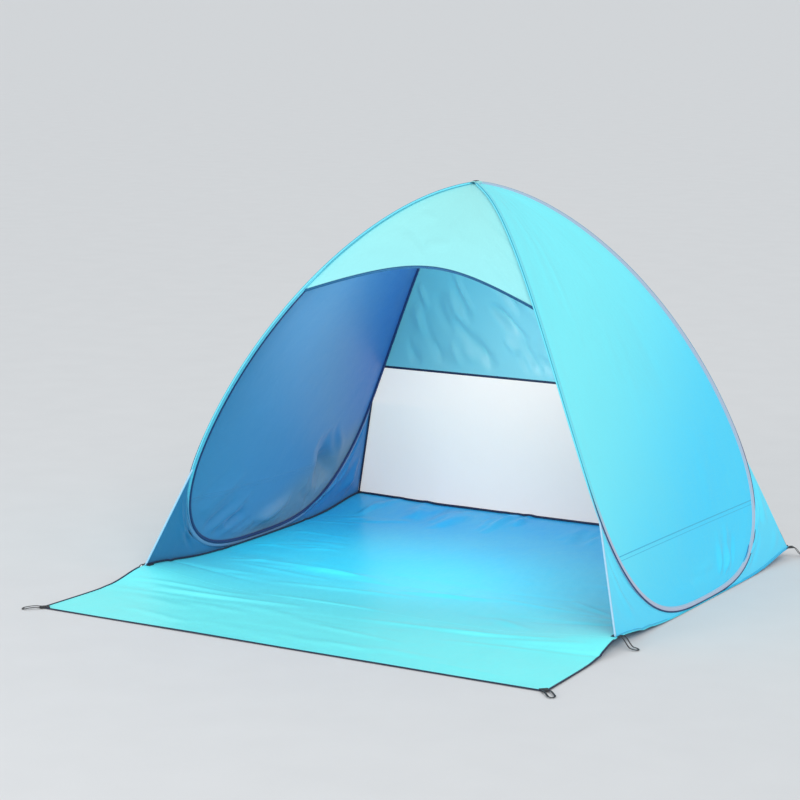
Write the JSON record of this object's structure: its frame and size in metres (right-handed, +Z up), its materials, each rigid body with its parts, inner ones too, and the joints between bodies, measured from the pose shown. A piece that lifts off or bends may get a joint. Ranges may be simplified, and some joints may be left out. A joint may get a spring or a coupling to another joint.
{
  "type": "pop up tent",
  "caption": "Pop-up beach tent: cloth shelter on two closed spring-wire hoops, arched open front with a ground apron, screened rear wall and webbing peg loops",
  "frame": {"origin": "middle of the ground outline, peg loops included, on the ground", "axes": "+Z up; -Y is the open front with the apron, +Y the screened rear wall; +X is the side on the right of someone who looks in through the doorway"},
  "size_m": [1.6376, 1.6866, 1.124],
  "materials": {
    "cyan_cloth": "coated polyester taffeta with a soft sheen",
    "aqua_cloth": "the same taffeta lit from behind, pale aqua",
    "floor_cloth": "waterproof coated polyester groundsheet",
    "white_screen": "matt white fine screen",
    "navy_binding": "woven edge tape",
    "pale_binding": "woven sleeve tape, pale lilac blue",
    "spring_steel": "spring steel wire",
    "black_webbing": "woven black webbing"
  },
  "bodies": {
    "canopy": {"floor_sheet": "floor_cloth", "front_brow_panel": "aqua_cloth", "door_arch_binding": "navy_binding", "rear_upper_panel": "aqua_cloth", "rear_window_panel": "white_screen", "window_top_binding": "navy_binding", "rear_floor_piping": "navy_binding", "apex_tack_patch": "aqua_cloth"},
    "porch": {"porch_sheet": "aqua_cloth", "porch_edge_binding": "navy_binding"},
    "left_side": {"left_hoop_wire": "spring_steel", "left_wire_ferrule": "spring_steel", "left_hoop_sleeve": "pale_binding", "left_side_panel": "cyan_cloth", "left_side_lower_panel": "cyan_cloth", "left_front_gusset": "cyan_cloth", "left_rear_gusset": "cyan_cloth", "left_floor_piping": "navy_binding"},
    "left_porch_loop": {"left_porch_peg_loop": "black_webbing"},
    "left_front_loop": {"left_front_peg_loop": "black_webbing"},
    "left_rear_loop": {"left_rear_peg_loop": "black_webbing"},
    "right_side": {"right_hoop_wire": "spring_steel", "right_wire_ferrule": "spring_steel", "right_hoop_sleeve": "pale_binding", "right_side_panel": "cyan_cloth", "right_side_lower_panel": "cyan_cloth", "right_front_gusset": "cyan_cloth", "right_rear_gusset": "cyan_cloth", "right_floor_piping": "navy_binding"},
    "right_porch_loop": {"right_porch_peg_loop": "black_webbing"},
    "right_front_loop": {"right_front_peg_loop": "black_webbing"},
    "right_rear_loop": {"right_rear_peg_loop": "black_webbing"}
  },
  "joints": [
    {"name": "right_side_fold", "type": "hinge", "parent": "canopy", "child": "right_side", "pos_m": [0, 0, 1.115], "axis": [0, 1, 0], "range_deg": [0, 32], "stiffness_Nm_per_rad": 12, "springref_deg": -34.38, "deforming": ["floor_sheet", "front_brow_panel", "door_arch_binding", "rear_upper_panel", "rear_window_panel", "window_top_binding", "rear_floor_piping", "apex_tack_patch"]},
    {"name": "left_side_fold", "type": "hinge", "parent": "canopy", "child": "left_side", "pos_m": [0, 0, 1.115], "axis": [0, -1, 0], "range_deg": [0, 32], "stiffness_Nm_per_rad": 12, "springref_deg": -34.38},
    {"name": "porch_fold", "type": "hinge", "parent": "canopy", "child": "porch", "pos_m": [0, -0.3675, 0.0008], "axis": [-1, 0, 0], "range_deg": [0, 90]},
    {"name": "left_porch_loop_flap", "type": "hinge", "parent": "porch", "child": "left_porch_loop", "pos_m": [-0.7795, -0.795, 0.0012], "axis": [-1, 0, 0], "range_deg": [0, 90]},
    {"name": "left_front_loop_flap", "type": "hinge", "parent": "left_side", "child": "left_front_loop", "pos_m": [-0.759, -0.351, 0.0012], "axis": [0, 1, 0], "range_deg": [0, 90]},
    {"name": "left_rear_loop_flap", "type": "hinge", "parent": "left_side", "child": "left_rear_loop", "pos_m": [-0.7605, 0.804, 0.0012], "axis": [0.7071, 0.7071, 0], "range_deg": [0, 90]},
    {"name": "right_porch_loop_flap", "type": "hinge", "parent": "porch", "child": "right_porch_loop", "pos_m": [0.7795, -0.795, 0.0012], "axis": [-1, 0, 0], "range_deg": [0, 90]},
    {"name": "right_front_loop_flap", "type": "hinge", "parent": "right_side", "child": "right_front_loop", "pos_m": [0.759, -0.351, 0.0012], "axis": [0, -1, 0], "range_deg": [0, 90]},
    {"name": "right_rear_loop_flap", "type": "hinge", "parent": "right_side", "child": "right_rear_loop", "pos_m": [0.7605, 0.804, 0.0012], "axis": [0.7071, -0.7071, 0], "range_deg": [0, 90]}
  ],
  "couplings": [
    {"joint": "left_side_fold", "follows": "right_side_fold", "ratio": 1}
  ]
}
